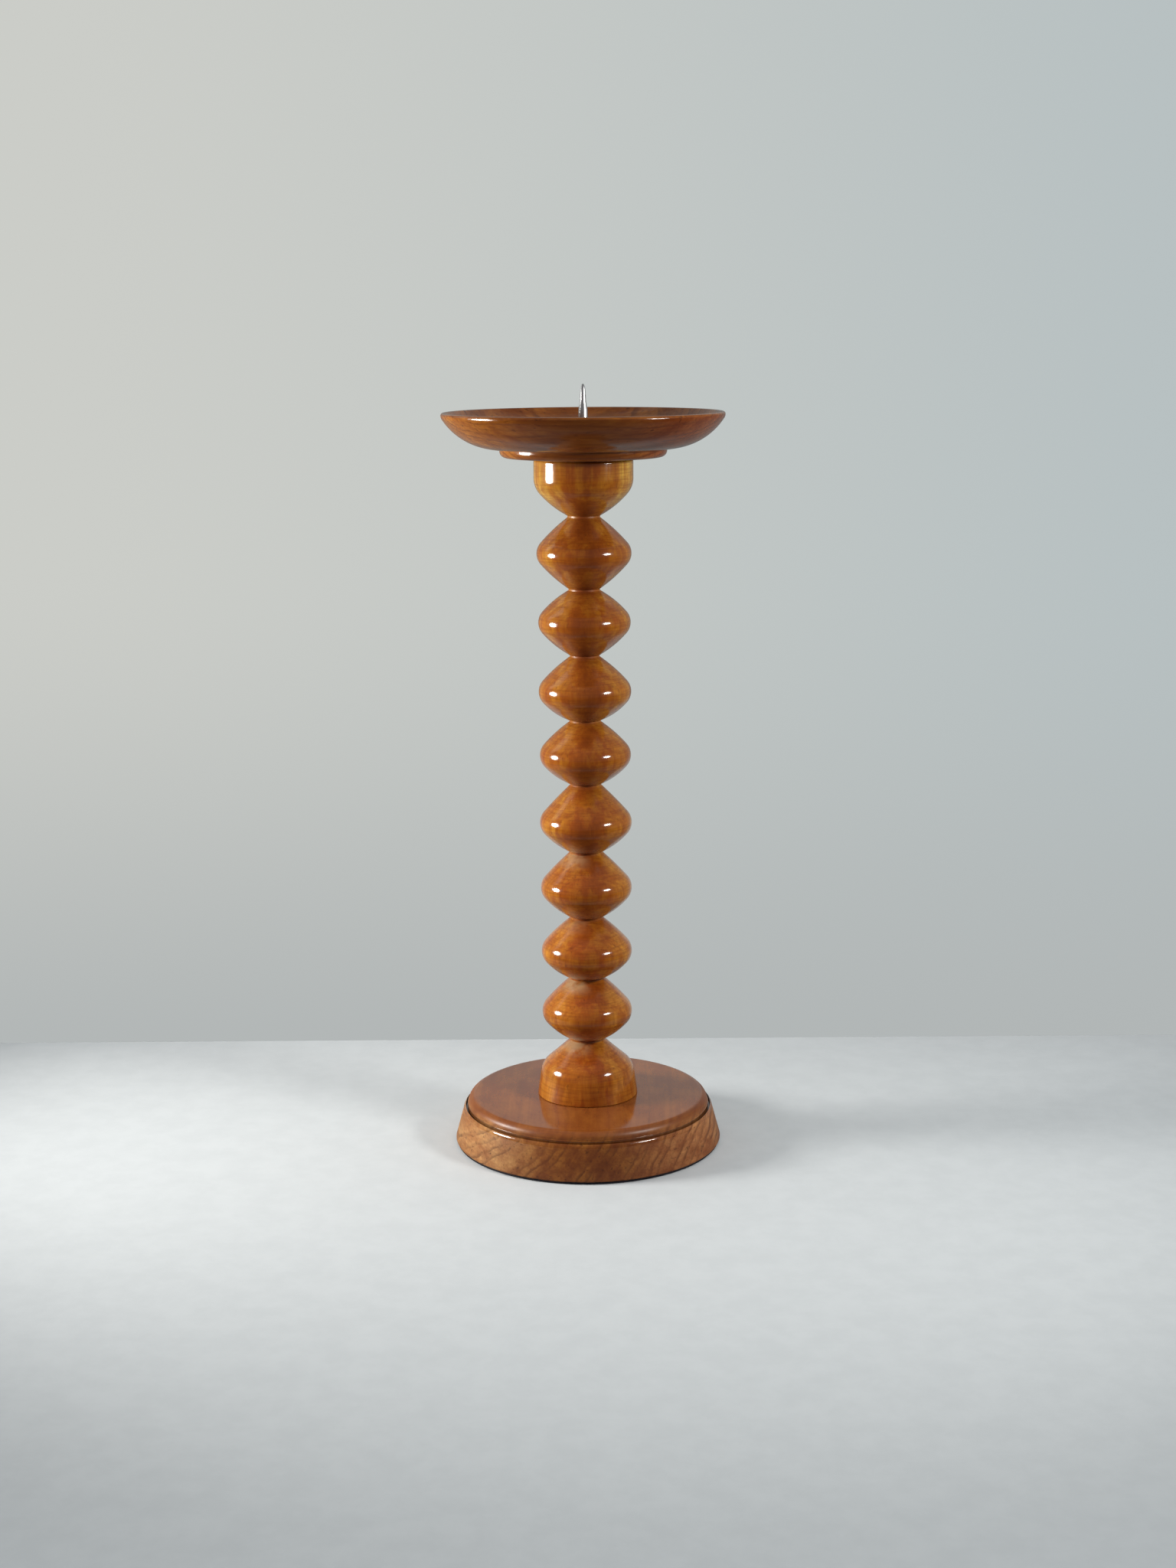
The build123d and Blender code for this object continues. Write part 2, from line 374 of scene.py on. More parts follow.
def turned_pricket():
    tip_start = math.radians(pricket_tip_angle)
    tip_centre = pricket_high.z - pricket_tip_radius
    pen = Outline(0, pricket_low.z)
    pen.line(pricket_shank_radius, pricket_low.z + pricket_point)
    pen.line(pricket_shank_radius, pricket_seat)
    pen.line(pricket_root_radius, pricket_seat)
    pen.line(pricket_root_radius, dish_floor)
    pen.line(pricket_waist_radius, pricket_waist)
    pen.arc_to(
        (pricket_waist_radius + pricket_spike_radius) / 2, (pricket_waist + pricket_spike) / 2
    )
    pen.arc_to(pricket_spike_radius, pricket_spike)
    pen.line(pricket_nib_radius, pricket_high.z - pricket_nib_length)
    pen.line(
        pricket_tip_radius * math.cos(tip_start),
        tip_centre + pricket_tip_radius * math.sin(tip_start),
    )
    pen.heading = straight_up + tip_start
    pen.sweep(pricket_tip_radius, straight_up - tip_start)
    return pen.turned("steel_pricket", spike_steps)


# Shader nodes


def add(tree, kind, sockets=(), **settings):
    """A node with its own settings; its sockets get values, or links where a socket is given."""
    made = tree.nodes.new(kind)
    for name, value in settings.items():
        setattr(made, name, value)
    for name, value in dict(sockets).items():
        if isinstance(value, bpy.types.NodeSocket):
            tree.links.new(value, made.inputs[name])
        else:
            made.inputs[name].default_value = value
    return made


def sums(tree, operation, first, second=0.0):
    return add(tree, "ShaderNodeMath", {0: first, 1: second}, operation=operation).outputs[0]


def product(tree, first, *others):
    for other in others:
        first = sums(tree, "MULTIPLY", first, other)
    return first


def mixed(tree, *parts):
    """Sum of values, each times its own share."""
    total = None
    for value, share in parts:
        part = sums(tree, "MULTIPLY", value, share)
        total = part if total is None else sums(tree, "ADD", total, part)
    return total


def between(tree, value, low, high):
    """0 at low, 1 at high, with a soft start and end."""
    return add(
        tree,
        "ShaderNodeMapRange",
        {"Value": value, "From Min": low, "From Max": high},
        interpolation_type="SMOOTHSTEP",
    ).outputs[0]


def spread(tree, value, low, high):
    """From low to high in step with a value from 0 to 1."""
    return add(
        tree, "ShaderNodeMapRange", {"Value": value, "To Min": low, "To Max": high}
    ).outputs[0]


def blend(tree, share, first, second, blend_type="MIX"):
    """Colour between two others, by a share; each is a socket, or red, green and blue."""
    ends = [end if isinstance(end, bpy.types.NodeSocket) else (*end, 1) for end in (first, second)]
    return add(
        tree,
        "ShaderNodeMix",
        {0: share, 6: ends[0], 7: ends[1]},
        data_type="RGBA",
        blend_type=blend_type,
    ).outputs[2]


def tinted(tree, colour, share, tint):
    """The colour times a tint, by a share."""
    return blend(tree, share, colour, tint, "MULTIPLY")


def stained(tree, colour, value, share, stain):
    """The colour drawn towards a stain, where a value is high."""
    return blend(tree, sums(tree, "MULTIPLY", value, share), colour, stain)


def ramp(tree, value, stops):
    """Colour by a value from 0 to 1, through evenly spaced stops."""
    made = add(tree, "ShaderNodeValToRGB", {0: value})
    places = made.color_ramp.elements
    while len(places) < len(stops):
        places.new(0.5)
    for index, colour in enumerate(stops):
        places[index].position = index / (len(stops) - 1)
        places[index].color = (*colour, 1)
    return made.outputs[0]


def along_axes(tree, vector):
    """The vector's X, Y and Z."""
    return add(tree, "ShaderNodeSeparateXYZ", {0: vector}).outputs


def stretched(tree, vector, scale):
    return add(
        tree, "ShaderNodeVectorMath", {0: vector, 1: scale}, operation="MULTIPLY"
    ).outputs[0]


def distance_from_axis(tree, vector):
    flat = stretched(tree, vector, (1, 1, 0))
    return add(tree, "ShaderNodeVectorMath", {0: flat}, operation="LENGTH").outputs["Value"]


def noise(tree, vector, scale, detail=2.0, roughness=0.5):
    return add(
        tree,
        "ShaderNodeTexNoise",
        {"Vector": vector, "Scale": scale, "Detail": detail, "Roughness": roughness},
    ).outputs[0]


def noise_along(tree, place, detail=2.0, roughness=0.5):
    """Noise along one line, by a single value."""
    return add(
        tree,
        "ShaderNodeTexNoise",
        {"W": place, "Scale": 1.0, "Detail": detail, "Roughness": roughness},
        noise_dimensions="1D",
    ).outputs[0]


def new_group(name, inputs, outputs):
    """An empty shader group with its named sockets: the tree, its input node and its output node."""
    tree = bpy.data.node_groups.new(name, "ShaderNodeTree")
    for socket, kind, start in inputs:
        made = tree.interface.new_socket(socket, in_out="INPUT", socket_type=kind)
        made.default_value = start
    for socket in outputs:
        tree.interface.new_socket(socket, in_out="OUTPUT", socket_type="NodeSocketFloat")
    return tree, tree.nodes.new("NodeGroupInput"), tree.nodes.new("NodeGroupOutput")


# Growth in solid wood: how each kind is squeezed along the fibre, how fine it is per metre, and its range
drift_squeeze = 0.3
drift_fineness = 60
streak_squeeze = 0.1
streak_fineness = 230
streak_range = (0.30, 0.70)
fibre_squeeze = 0.04
fibre_fineness = 900
fibre_range = (0.25, 0.75)
fleck_squeeze = 0.25
fleck_fineness = 650
fleck_range = (0.62, 0.72)
patch_squeeze = 0.5
patch_fineness = 95
patch_range = (0.32, 0.68)
ring_range = (0.32, 0.68)

# Latewood: the parts of a year where it starts and ends, and the patches and years that show it
late_start = (0.45, 0.85)
late_end = (1.0, 0.88)
late_patches = (0.34, 0.56)
late_years = (0.30, 0.60)
year_stride = 0.37


def drawn_out(tree, vector, squeeze, fineness, detail, roughness=0.5):
    """Noise that is drawn out along the fibre."""
    return noise(tree, stretched(tree, vector, (1, 1, squeeze)), fineness, detail, roughness)


def solid_wood_group():
    """Wood as a solid, with the fibre along Z and the pith on the Z axis."""
    tree, given, result = new_group(
        "solid_wood",
        [
            ("Vector", "NodeSocketVector", (0, 0, 0)),
            ("Ring Width", "NodeSocketFloat", 3 * MM),
            ("Wander", "NodeSocketFloat", 2 * MM),
        ],
        ["Rings", "Latewood", "Streaks", "Fibres", "Flecks", "Patches"],
    )
    vector = given.outputs["Vector"]
    drift = drawn_out(tree, vector, drift_squeeze, drift_fineness, detail=3)
    drift = sums(tree, "MULTIPLY", sums(tree, "SUBTRACT", drift, 0.5), given.outputs["Wander"])
    depth = sums(tree, "ADD", distance_from_axis(tree, vector), drift)
    phase = sums(tree, "DIVIDE", depth, given.outputs["Ring Width"])
    rings = noise_along(tree, phase, detail=2, roughness=0.6)
    year = sums(tree, "FRACT", phase)
    late = sums(tree, "MULTIPLY", between(tree, year, *late_start), between(tree, year, *late_end))
    year_place = sums(tree, "MULTIPLY", sums(tree, "FLOOR", phase), year_stride)
    strength = noise_along(tree, year_place, detail=0)
    streaks = drawn_out(tree, vector, streak_squeeze, streak_fineness, detail=3, roughness=0.6)
    fibres = drawn_out(tree, vector, fibre_squeeze, fibre_fineness, detail=3, roughness=0.6)
    flecks = drawn_out(tree, vector, fleck_squeeze, fleck_fineness, detail=2, roughness=0.55)
    patches = drawn_out(tree, vector, patch_squeeze, patch_fineness, detail=4, roughness=0.6)
    made = {
        "Rings": between(tree, rings, *ring_range),
        "Latewood": product(
            tree, late, between(tree, patches, *late_patches), between(tree, strength, *late_years)
        ),
        "Streaks": between(tree, streaks, *streak_range),
        "Fibres": between(tree, fibres, *fibre_range),
        "Flecks": between(tree, flecks, *fleck_range),
        "Patches": between(tree, patches, *patch_range),
    }
    for name, value in made.items():
        tree.links.new(value, result.inputs[name])
    return tree


def turning_lines_group():
    """Fine broken lines that the turning tool left round the piece, as heights from 0 to 1."""
    tree, given, result = new_group(
        "turning_lines",
        [
            ("Vector", "NodeSocketVector", (0, 0, 0)),
            ("Spacing", "NodeSocketFloat", 0.6 * MM),
            ("Breaks", "NodeSocketFloat", 5.0),
        ],
        ["Lines"],
    )
    vector = given.outputs["Vector"]
    spacing = given.outputs["Spacing"]
    axis_distance = distance_from_axis(tree, vector)
    height = along_axes(tree, vector)["Z"]
    rise = add(tree, "ShaderNodeCombineXYZ", {2: sums(tree, "DIVIDE", height, spacing)})
    breaks = sums(tree, "DIVIDE", given.outputs["Breaks"], axis_distance)
    flat = stretched(tree, vector, (1, 1, 0))
    turn = add(tree, "ShaderNodeVectorMath", {0: flat, "Scale": breaks}, operation="SCALE")
    place = add(
        tree, "ShaderNodeVectorMath", {0: turn.outputs[0], 1: rise.outputs[0]}, operation="ADD"
    )
    lines = add(
        tree,
        "ShaderNodeTexNoise",
        {
            "Vector": place.outputs[0],
            "W": sums(tree, "DIVIDE", axis_distance, spacing),
            "Scale": 1.0,
            "Detail": 2.0,
            "Roughness": 0.7,
        },
        noise_dimensions="4D",
    )
    tree.links.new(lines.outputs[0], result.inputs["Lines"])
    return tree


solid_wood = solid_wood_group()
turning_lines = turning_lines_group()


def use_group(tree, group, **sockets):
    named = {name.replace("_", " "): value for name, value in sockets.items()}
    return add(tree, "ShaderNodeGroup", named, node_tree=group).outputs


def new_material(name):
    """A material with its tree, its Principled shader and its Object coordinates."""
    material = bpy.data.materials.new(name)
    material.use_nodes = True
    tree = material.node_tree
    shader = tree.nodes["Principled BSDF"]
    place = tree.nodes.new("ShaderNodeTexCoord").outputs["Object"]
    return material, tree, shader, place


def upward_facing(tree):
    """How far the surface faces up: the Z of its normal."""
    facing = tree.nodes.new("ShaderNodeTexCoord").outputs["Normal"]
    return along_axes(tree, facing)["Z"]


def set_plain(shader, values):
    """Values that are the same all over a surface."""
    for name, value in values.items():
        shader.inputs[name].default_value = value


def set_bump(tree, shader, height, distance):
    bump = add(tree, "ShaderNodeBump", {"Strength": 1.0, "Distance": distance, "Height": height})
    tree.links.new(bump.outputs[0], shader.inputs["Normal"])


# Varnish
gloss_roughness = (0.09, 0.17)
worn_roughness = 0.38
mirrored_roughness = 0.6
coat_roughness = 0.11
coat_ior = 1.45


def set_varnish(tree, shader, fibres, worn, specular, coat):
    """A gloss varnish that follows the grain, under a clear coat; satin where worn, dull in reflections."""
    mirrored = tree.nodes.new("ShaderNodeLightPath").outputs["Is Glossy Ray"]
    rough = spread(tree, fibres, *gloss_roughness)
    rough = sums(tree, "MAXIMUM", rough, sums(tree, "MULTIPLY", worn, worn_roughness))
    rough = sums(tree, "MAXIMUM", rough, sums(tree, "MULTIPLY", mirrored, mirrored_roughness))
    matt = sums(tree, "MAXIMUM", mirrored, worn)
    tree.links.new(rough, shader.inputs["Roughness"])
    tree.links.new(spread(tree, matt, coat, 0.0), shader.inputs["Coat Weight"])
    set_plain(
        shader,
        {"Specular IOR Level": specular, "Coat Roughness": coat_roughness, "Coat IOR": coat_ior},
    )


def laid(tree, place, pith, turn=(0, 0, 0)):
    """Places in the log that a piece was cut from, with the fibre along Z and the pith on the axis."""
    return add(
        tree, "ShaderNodeMapping", {"Vector": place, "Location": pith, "Rotation": turn}
    ).outputs[0]


# Amber wood of the stem: its growth, its stain from dark to pale, the stains over it, and the painted light,
# sheen and shadow on it
amber_pith = (10 * MM, -75 * MM, 0)
amber_ring_width = 1.9 * MM
amber_ring_wander = 6 * MM
amber_line_spacing = 0.9 * MM
amber_line_breaks = 1.6
amber_relief = 0.008 * MM
amber_stain = [
    (0.190, 0.042, 0.007),
    (0.290, 0.073, 0.008),
    (0.410, 0.150, 0.013),
    (0.560, 0.265, 0.028),
]
amber_low_tint = (1.07, 0.90, 0.94)
# Painted light: the golden tint on the cup's far sides, where the side windows fall
amber_painted_side_gold = (1.24, 1.66, 2.60)
amber_ring_stain = (0.170, 0.034, 0.004)
amber_fibre_stain = (0.120, 0.024, 0.004)
amber_fleck_stain = (0.090, 0.020, 0.004)
amber_line_stain = (0.140, 0.029, 0.004)
# Painted shadow: dark brown where the dish's foot shades the top of the cup in front
amber_painted_shadow = (0.070, 0.016, 0.004)
# Pale tan: worn varnish together with a painted sheen where the left light falls
amber_wear_and_sheen = (0.42, 0.285, 0.155)

# Where these lie, each from none to full: by share of the radius across, by height, by radius, or by
# distance from a neck
# The two sides and the cup's far sides carry painted light
amber_pale_and_lit_sides = (0.05, 0.85)
lit_cup_sides = (0.45, 0.98)
cup_shadow_front = (0.95, 0.30)
amber_patches = (0.15, 0.85)
amber_lines = (0.40, 0.66)
low_tone_heights = (240 * MM, 40 * MM)
cup_tone_heights = (315 * MM, 340 * MM)
cup_shadow_heights = (stem_top - 4 * MM, stem_top - 1 * MM)
neck_darkening_radii = (14 * MM, 8.5 * MM)
neck_wear_radii = (10 * MM, 8.6 * MM)
# Where the worn varnish and the painted sheen lie
wear_sheen_radii = (16.5 * MM, 10.5 * MM)
wear_sheen_depths = (2 * MM, -4 * MM)
wear_sheen_distances = (10 * MM, 7 * MM)
wear_sheen_slopes = (0.25, 0.55)
wear_sheen_left = (0.40, -0.55)
wear_sheen_spots = (0.22, 0.58)
wear_sheen_fineness = 190
neck_wear_sheen_shares = (0.85, 0.95, 0.35, 0.65)


def worn_and_sheen_shoulders(tree, place, axis_distance, ways):
    """Places where the varnish is worn pale and a painted sheen lies, from 0 to 1: under the lower necks, at
    the front left where the left light falls.
    """
    leftward = sums(tree, "DIVIDE", ways["X"], axis_distance)
    neck_height = lowest_neck
    necks = []
    for rub_share, height_share in zip(neck_wear_sheen_shares, bead_height_shares):
        away = sums(tree, "ABSOLUTE", sums(tree, "SUBTRACT", ways["Z"], neck_height))
        necks.append((between(tree, away, *wear_sheen_distances), rub_share))
        neck_height += height_share * (highest_neck - lowest_neck)
    return product(
        tree,
        mixed(tree, *necks),
        between(tree, noise(tree, place, wear_sheen_fineness, detail=3), *wear_sheen_spots),
        between(tree, upward_facing(tree), *wear_sheen_slopes),
        between(tree, leftward, *wear_sheen_left),
        between(tree, ways["Y"], *wear_sheen_depths),
        between(tree, axis_distance, *wear_sheen_radii),
    )


def amber_wood():
    """The stem: amber stain, fibre upright, golden at two sides (partly painted light) and in the cup, darker
    in the necks, with painted sheen and painted shadow.
    """
    material, tree, shader, place = new_material("amber_varnished_wood")
    wood = use_group(
        tree,
        solid_wood,
        Vector=laid(tree, place, amber_pith),
        Ring_Width=amber_ring_width,
        Wander=amber_ring_wander,
    )
    lines = use_group(
        tree, turning_lines, Vector=place, Spacing=amber_line_spacing, Breaks=amber_line_breaks
    )["Lines"]
    axis_distance = distance_from_axis(tree, place)
    ways = along_axes(tree, place)
    across = sums(tree, "DIVIDE", sums(tree, "ABSOLUTE", ways["X"]), axis_distance)
    low = between(tree, ways["Z"], *low_tone_heights)
    cup = between(tree, ways["Z"], *cup_tone_heights)
    tone = mixed(
        tree,
        # Paler at the two sides: partly the wood, partly painted light from the side windows
        (between(tree, across, *amber_pale_and_lit_sides), 0.36),
        (low, 0.14),
        (cup, 0.13),
        (between(tree, wood["Patches"], *amber_patches), 0.26),
        (wood["Streaks"], 0.24),
    )
    # Painted light: the cup's far sides turn golden where the side windows fall
    painted_gold = sums(tree, "MULTIPLY", cup, between(tree, across, *lit_cup_sides))
    neck = between(tree, axis_distance, *neck_darkening_radii)
    wear_and_sheen = worn_and_sheen_shoulders(tree, place, axis_distance, ways)
    # Painted shadow under the dish's foot, strongest at the front of the cup
    cup_shadow = between(tree, ways["Z"], *cup_shadow_heights)
    cup_shadow = sums(tree, "MULTIPLY", cup_shadow, between(tree, across, *cup_shadow_front))
    colour = ramp(tree, tone, amber_stain)
    colour = tinted(tree, colour, low, amber_low_tint)
    colour = tinted(tree, colour, painted_gold, amber_painted_side_gold)
    colour = stained(tree, colour, wood["Rings"], 0.24, amber_ring_stain)
    colour = stained(tree, colour, wood["Fibres"], 0.24, amber_fibre_stain)
    colour = stained(tree, colour, wood["Flecks"], 0.35, amber_fleck_stain)
    colour = stained(tree, colour, between(tree, lines, *amber_lines), 0.36, amber_line_stain)
    # Darker towards the necks
    colour = stained(tree, colour, neck, 0.25, amber_fibre_stain)
    # Worn varnish and painted sheen on the shoulders under the lower necks
    colour = stained(tree, colour, wear_and_sheen, 0.75, amber_wear_and_sheen)
    colour = stained(tree, colour, cup_shadow, 0.55, amber_painted_shadow)
    tree.links.new(colour, shader.inputs["Base Color"])
    set_bump(tree, shader, mixed(tree, (lines, 1.0), (wood["Fibres"], 0.6)), amber_relief)
    worn = between(tree, axis_distance, *neck_wear_radii)
    worn = sums(tree, "MAXIMUM", worn, sums(tree, "MULTIPLY", wear_and_sheen, 0.7))
    set_varnish(tree, shader, wood["Fibres"], worn, specular=0.4, coat=0.4)
    return material


# Red wood of the base and dish: its growth, its stains from dark to pale, the stains over them, and the
# painted light and shade on them
red_ring_wander = 7 * MM
red_line_spacing = 1.2 * MM
red_relief = 0.03 * MM
red_calm_level = 0.23
red_figure_level = 0.36
red_stains = [
    (0.120, 0.028, 0.006),
    (0.190, 0.050, 0.009),
    (0.275, 0.086, 0.014),
    (0.360, 0.130, 0.020),
]
# Painted light: golden tones laid on the sides that the windows light
painted_light_golds = [
    (0.230, 0.070, 0.020),
    (0.370, 0.140, 0.042),
    (0.510, 0.230, 0.078),
    (0.640, 0.330, 0.120),
]
# Painted shade: dark laid on the front
red_painted_front_shade = (0.060, 0.014, 0.005)
red_late_stain = (0.085, 0.022, 0.006)
red_fibre_stain = (0.080, 0.018, 0.005)
red_fleck_stain = (0.030, 0.009, 0.005)
red_line_stain = (0.070, 0.017, 0.005)
# Painted shade: near-black brown laid in the groove behind the lip
groove_painted_shade = (0.040, 0.014, 0.006)

# Where they change: outside an edge, at the sides (painted light) and in front (painted shade) by share of the
# radius, at the left and at the right (painted light and shade), and on the tool's lines
edge_blend = 2 * MM
red_lit_sides = (0.15, 0.90)
red_shaded_front = (0.45, 1.0)
left_side = (-20 * MM, -42 * MM)
right_side = (15 * MM, 40 * MM)
red_lines = (0.45, 0.75)

# The base's log, its calm top, its painted light and sheen at the left and painted shade at the right, its
# satin band and the softness of each limit
base_pith = (120 * MM, 100 * MM, 0)
base_fibre_turn = (math.radians(90), 0, 0)
base_ring_width = 3.6 * MM
base_calm_radius = base_band_radius - 1 * MM
base_painted_left_light = (1.03, 1.12, 1.20)
base_painted_right_shade = (0.92, 0.82, 0.82)
base_satin_radii = (base_band_radius - 3.6 * MM, base_band_radius - 2.2 * MM)
limit_blend = 0.1 * MM
skirt_blend = 0.2 * MM

# The dish's log, the slopes that count as its wall, and its painted light at the left and painted shade at the
# right
dish_wall_slopes = (0.30, 0.0)
dish_pith = (460 * MM, 60 * MM, 0)
dish_fibre_turn = (0, math.radians(-90), 0)
dish_ring_width = 3.0 * MM
dish_painted_left_light = (1.12, 1.02, 0.45)
dish_painted_right_shade = (0.72, 0.51, 0.40)


def turned_place(tree, place, edge):
    """A point's radius, and whether it lies outside the edge, at a side and in front, each from 0 to 1; the
    sides take painted light and the front painted shade.
    """
    axis_distance = distance_from_axis(tree, place)
    ways = along_axes(tree, place)
    across = sums(tree, "DIVIDE", sums(tree, "ABSOLUTE", ways["X"]), axis_distance)
    forward = sums(tree, "DIVIDE", sums(tree, "MULTIPLY", ways["Y"], -1.0), axis_distance)
    outside = between(tree, axis_distance, edge, edge + edge_blend)
    sides = sums(tree, "MULTIPLY", between(tree, across, *red_lit_sides), outside)
    front = sums(tree, "MULTIPLY", between(tree, forward, *red_shaded_front), outside)
    return axis_distance, outside, sides, front


def lit_and_shaded_sides(tree, colour, place, wall, left_light_tint, right_shade_tint):
    """The colour with painted light on the wall's left side and painted shade on its right."""
    across = along_axes(tree, place)["X"]
    left = sums(tree, "MULTIPLY", between(tree, across, *left_side), wall)
    right = sums(tree, "MULTIPLY", between(tree, across, *right_side), wall)
    return tinted(tree, tinted(tree, colour, left, left_light_tint), right, right_shade_tint)


def red_stain(tree, wood, outside, sides, front, bold, golden, shade):
    """Red stain on wood turned across its fibre: calm inside the edge, figured outside it, with painted light
    at the sides and painted shade in front.

    Bold is the strength of the figure outside, golden the share of painted golden light at the sides, and
    shade the share of painted dark shade in front.
    """
    calm = mixed(tree, (wood["Rings"], 0.08), (wood["Patches"], 0.26), (wood["Streaks"], 0.10))
    calm = sums(tree, "ADD", calm, red_calm_level)
    figure = mixed(tree, (wood["Rings"], 0.12), (wood["Patches"], bold), (wood["Streaks"], 0.30))
    figure = sums(tree, "ADD", figure, red_figure_level - bold / 2)
    colour = blend(tree, outside, ramp(tree, calm, red_stains), ramp(tree, figure, red_stains))
    # Painted light at the sides
    painted_gold = sums(tree, "MULTIPLY", sides, golden)
    colour = blend(tree, painted_gold, colour, ramp(tree, figure, painted_light_golds))
    # Painted shade in front
    colour = stained(tree, colour, front, shade, red_painted_front_shade)
    depth = spread(tree, outside, 0.25, 1.0)
    for growth, share, stain in (
        ("Latewood", 0.60, red_late_stain),
        ("Fibres", 0.34, red_fibre_stain),
        ("Flecks", 0.55, red_fleck_stain),
    ):
        shown = sums(tree, "MULTIPLY", wood[growth], depth)
        colour = stained(tree, colour, shown, share, stain)
    return colour


def red_wood(tree, place, pith, turn, ring_width):
    """The growth of red wood in a piece, and the tool's lines on it."""
    wood = use_group(
        tree,
        solid_wood,
        Vector=laid(tree, place, pith, turn),
        Ring_Width=ring_width,
        Wander=red_ring_wander,
    )
    lines = use_group(tree, turning_lines, Vector=place, Spacing=red_line_spacing)["Lines"]
    return wood, lines


def red_base():
    """The base: calm top, satin moulding and sides, painted light and shade on its sides and front, and
    painted shade in the groove behind the lip.
    """
    material, tree, shader, place = new_material("red_varnished_base")
    wood, lines = red_wood(tree, place, base_pith, base_fibre_turn, base_ring_width)
    axis_distance, outside, sides, front = turned_place(tree, place, base_calm_radius)
    # Painted light at the sides and painted shade in front, outside the calm top
    colour = red_stain(tree, wood, outside, sides, front, bold=0.50, golden=0.85, shade=0.15)
    # Painted light on the left side, painted shade on the right
    colour = lit_and_shaded_sides(tree, colour, place, outside, base_painted_left_light, base_painted_right_shade)
    colour = stained(tree, colour, between(tree, lines, *red_lines), 0.15, red_line_stain)
    groove = sums(
        tree,
        "MULTIPLY",
        between(tree, axis_distance, base_fillet_radius - limit_blend, base_fillet_radius),
        between(tree, axis_distance, base_groove_radius + limit_blend, base_groove_radius),
    )
    # Painted shade in the groove, strongest at the sides
    groove_shade = sums(tree, "MULTIPLY", groove, mixed(tree, (sides, 0.45), (outside, 0.35)))
    colour = blend(tree, groove_shade, colour, groove_painted_shade)
    tree.links.new(colour, shader.inputs["Base Color"])
    relief = mixed(tree, (lines, 0.8), (wood["Fibres"], 0.7))
    relief = sums(tree, "MULTIPLY", spread(tree, outside, 0.3, 1.0), relief)
    set_bump(tree, shader, relief, red_relief)
    band = sums(
        tree,
        "MULTIPLY",
        between(tree, axis_distance, *base_satin_radii),
        between(tree, axis_distance, base_band_radius + limit_blend, base_band_radius),
    )
    skirt = between(tree, axis_distance, base_lip_radius, base_lip_radius + skirt_blend)
    worn = sums(tree, "MAXIMUM", band, skirt)
    set_varnish(tree, shader, wood["Fibres"], worn, specular=0.4, coat=0.3)
    return material


def red_dish():
    """The dish: figured all over, with a wall that has painted shade in front, painted light at the sides and
    left, and painted shade at the right.
    """
    material, tree, shader, place = new_material("red_varnished_dish")
    wood, lines = red_wood(tree, place, dish_pith, dish_fibre_turn, dish_ring_width)
    wall = between(tree, upward_facing(tree), *dish_wall_slopes)
    outside, sides, front = turned_place(tree, place, 0.0)[1:]
    # Painted light at the wall's sides and painted shade on its front, where it faces down
    sides = sums(tree, "MULTIPLY", sides, wall)
    front = sums(tree, "MULTIPLY", front, wall)
    colour = red_stain(tree, wood, outside, sides, front, bold=0.40, golden=0.30, shade=0.55)
    colour = stained(tree, colour, between(tree, lines, *red_lines), 0.18, red_line_stain)
    # Painted light on the left of the wall, painted shade on its right
    colour = lit_and_shaded_sides(tree, colour, place, wall, dish_painted_left_light, dish_painted_right_shade)
    tree.links.new(colour, shader.inputs["Base Color"])
    set_bump(tree, shader, mixed(tree, (lines, 0.8), (wood["Fibres"], 0.7)), red_relief)
    set_varnish(tree, shader, wood["Fibres"], 0.0, specular=0.3, coat=0.2)
    return material


# Steel and baize
steel_line_spacing = 0.25 * MM
steel_relief = 0.01 * MM
steel_bright = (0.78, 0.79, 0.80)
steel_tarnished = (0.52, 0.51, 0.50)
zinc_bright = (0.58, 0.58, 0.57)
zinc_dull = (0.42, 0.42, 0.40)
baize_dark = (0.004, 0.003, 0.008)
baize_faded = (0.010, 0.008, 0.016)
baize_nap = (0.020, 0.017, 0.026)
baize_relief = 0.25 * MM


def bright_steel():
    """The pricket: polished steel with faint lines round it."""
    material, tree, shader, place = new_material("bright_steel")
    lines = use_group(tree, turning_lines, Vector=place, Spacing=steel_line_spacing)["Lines"]
    tarnish = between(tree, noise(tree, place, 420, detail=4), 0.45, 0.75)
    colour = blend(tree, tarnish, steel_bright, steel_tarnished)
    tree.links.new(colour, shader.inputs["Base Color"])
    tree.links.new(spread(tree, tarnish, 0.32, 0.42), shader.inputs["Roughness"])
    set_plain(shader, {"Metallic": 1.0})
    set_bump(tree, shader, lines, steel_relief)
    return material


def plain_steel():
    """The screw under the baize: dull bright zinc."""
    material, tree, shader, place = new_material("plain_steel")
    spangle = add(tree, "ShaderNodeTexVoronoi", {"Vector": place, "Scale": 900.0}).outputs["Distance"]
    colour = blend(tree, spangle, zinc_bright, zinc_dull)
    tree.links.new(colour, shader.inputs["Base Color"])
    tree.links.new(spread(tree, spangle, 0.30, 0.45), shader.inputs["Roughness"])
    set_plain(shader, {"Metallic": 1.0})
    return material


def dark_baize():
    """The pad: a short dark nap."""
    material, tree, shader, place = new_material("dark_baize")
    nap = noise(tree, place, 2600, detail=4, roughness=0.7)
    mottle = between(tree, noise(tree, place, 160, detail=3), 0.3, 0.7)
    colour = blend(tree, mottle, baize_dark, baize_faded)
    colour = stained(tree, colour, between(tree, nap, 0.5, 0.8), 0.5, baize_nap)
    tree.links.new(colour, shader.inputs["Base Color"])
    set_plain(shader, {"Roughness": 0.95, "Sheen Weight": 0.05})
    set_bump(tree, shader, nap, baize_relief)
    return material


